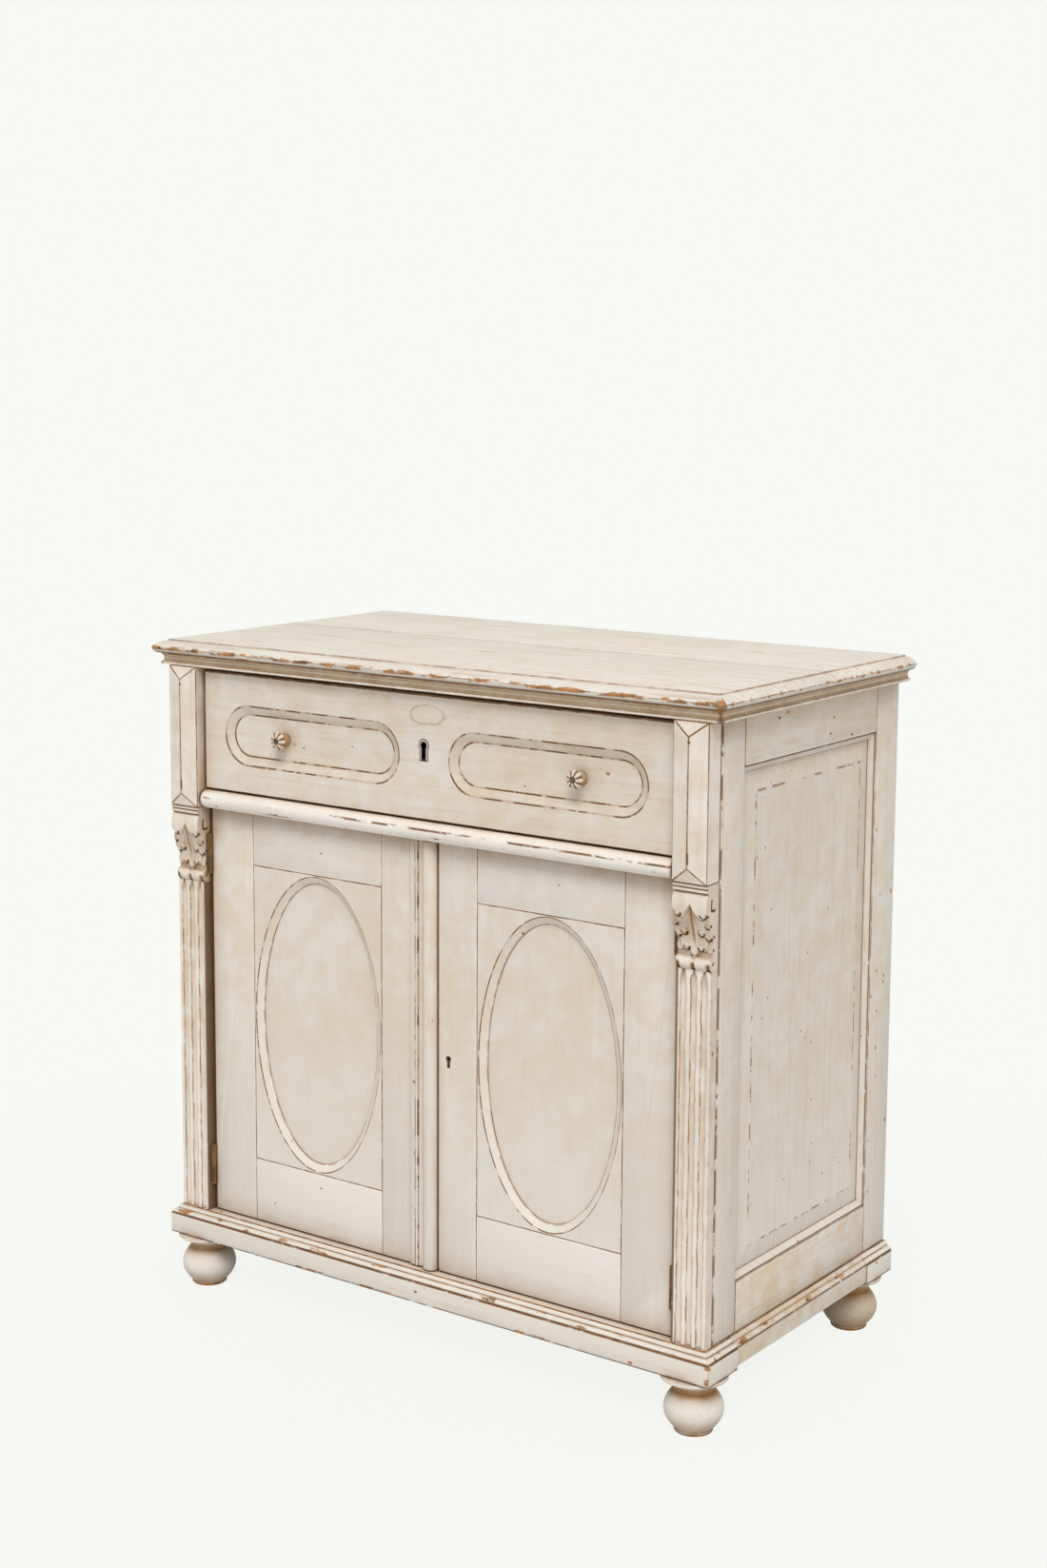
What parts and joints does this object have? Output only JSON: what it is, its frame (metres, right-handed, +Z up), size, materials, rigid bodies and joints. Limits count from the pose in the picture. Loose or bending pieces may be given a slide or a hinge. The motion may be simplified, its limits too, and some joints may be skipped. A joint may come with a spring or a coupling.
{
  "type": "low cupboard",
  "caption": "Low painted cupboard with a wide drawer over oval-panelled doors, fluted pilasters with leaf capitals, a nosed top and a beaded plinth on turned bun feet.",
  "frame": {"origin": "on the floor, under the middle of the box round the cupboard", "axes": "+X to the right seen from the front, +Y to the back, +Z up"},
  "size_m": [0.994, 0.531, 1],
  "materials": {
    "distressed_cream_paint": "worn cream paint over pine with brown wax in the corners",
    "bare_pine": "bare aged pine",
    "old_iron": "dull",
    "inlaid_brass": "dull, part painted over"
  },
  "bodies": {
    "carcass": {"top_front_board": "distressed_cream_paint", "top_back_board": "distressed_cream_paint", "cornice_front": "distressed_cream_paint", "cornice_left": "distressed_cream_paint", "cornice_right": "distressed_cream_paint", "front_post_left": "distressed_cream_paint", "front_post_right": "distressed_cream_paint", "back_post_left": "distressed_cream_paint", "back_post_right": "distressed_cream_paint", "side_top_rail_left": "distressed_cream_paint", "side_top_rail_right": "distressed_cream_paint", "side_bottom_rail_left": "distressed_cream_paint", "side_bottom_rail_right": "distressed_cream_paint", "side_panel_left": "distressed_cream_paint", "side_panel_right": "distressed_cream_paint", "panel_mouldings": "distressed_cream_paint", "front_top_rail": "bare_pine", "drawer_rail": "bare_pine", "drawer_rail_nosing": "distressed_cream_paint", "cupboard_floor": "bare_pine", "shelf": "bare_pine", "shelf_battens": "bare_pine", "drawer_runners": "bare_pine", "back_boards": "bare_pine", "pilaster_block_left": "distressed_cream_paint", "pilaster_block_right": "distressed_cream_paint", "capital_left": "distressed_cream_paint", "capital_right": "distressed_cream_paint", "pilaster_shaft_left": "distressed_cream_paint", "pilaster_shaft_right": "distressed_cream_paint", "plinth_front_rail": "distressed_cream_paint", "plinth_back_rail": "distressed_cream_paint", "plinth_side_rail_left": "distressed_cream_paint", "plinth_side_rail_right": "distressed_cream_paint", "bun_feet": "distressed_cream_paint", "jamb_hinges": "old_iron"},
    "drawer": {"drawer_front": "distressed_cream_paint", "drawer_side_left": "bare_pine", "drawer_side_right": "bare_pine", "drawer_back": "bare_pine", "drawer_bottom": "bare_pine", "drawer_knobs": "distressed_cream_paint", "drawer_escutcheon": "inlaid_brass", "drawer_lock": "old_iron"},
    "left_door": {"left_door_hinge_stile": "distressed_cream_paint", "left_door_closing_stile": "distressed_cream_paint", "left_door_top_rail": "distressed_cream_paint", "left_door_bottom_rail": "distressed_cream_paint", "left_door_oval_frame": "distressed_cream_paint", "left_door_panel": "distressed_cream_paint", "closing_strip": "distressed_cream_paint", "left_door_hinges": "old_iron"},
    "right_door": {"right_door_hinge_stile": "distressed_cream_paint", "right_door_closing_stile": "distressed_cream_paint", "right_door_top_rail": "distressed_cream_paint", "right_door_bottom_rail": "distressed_cream_paint", "right_door_oval_frame": "distressed_cream_paint", "right_door_panel": "distressed_cream_paint", "right_door_hinges": "old_iron", "right_door_lock": "old_iron"}
  },
  "joints": [
    {"name": "drawer_slide", "type": "slide", "parent": "carcass", "child": "drawer", "axis": [0, -1, 0], "range_m": [0, 0.34]},
    {"name": "left_door_hinge", "type": "hinge", "parent": "carcass", "child": "left_door", "pos_m": [-0.413, -0.2345, 0.438], "axis": [0, 0, -1], "range_deg": [0, 95]},
    {"name": "right_door_hinge", "type": "hinge", "parent": "carcass", "child": "right_door", "pos_m": [0.413, -0.2345, 0.438], "axis": [0, 0, 1], "range_deg": [0, 95]}
  ]
}
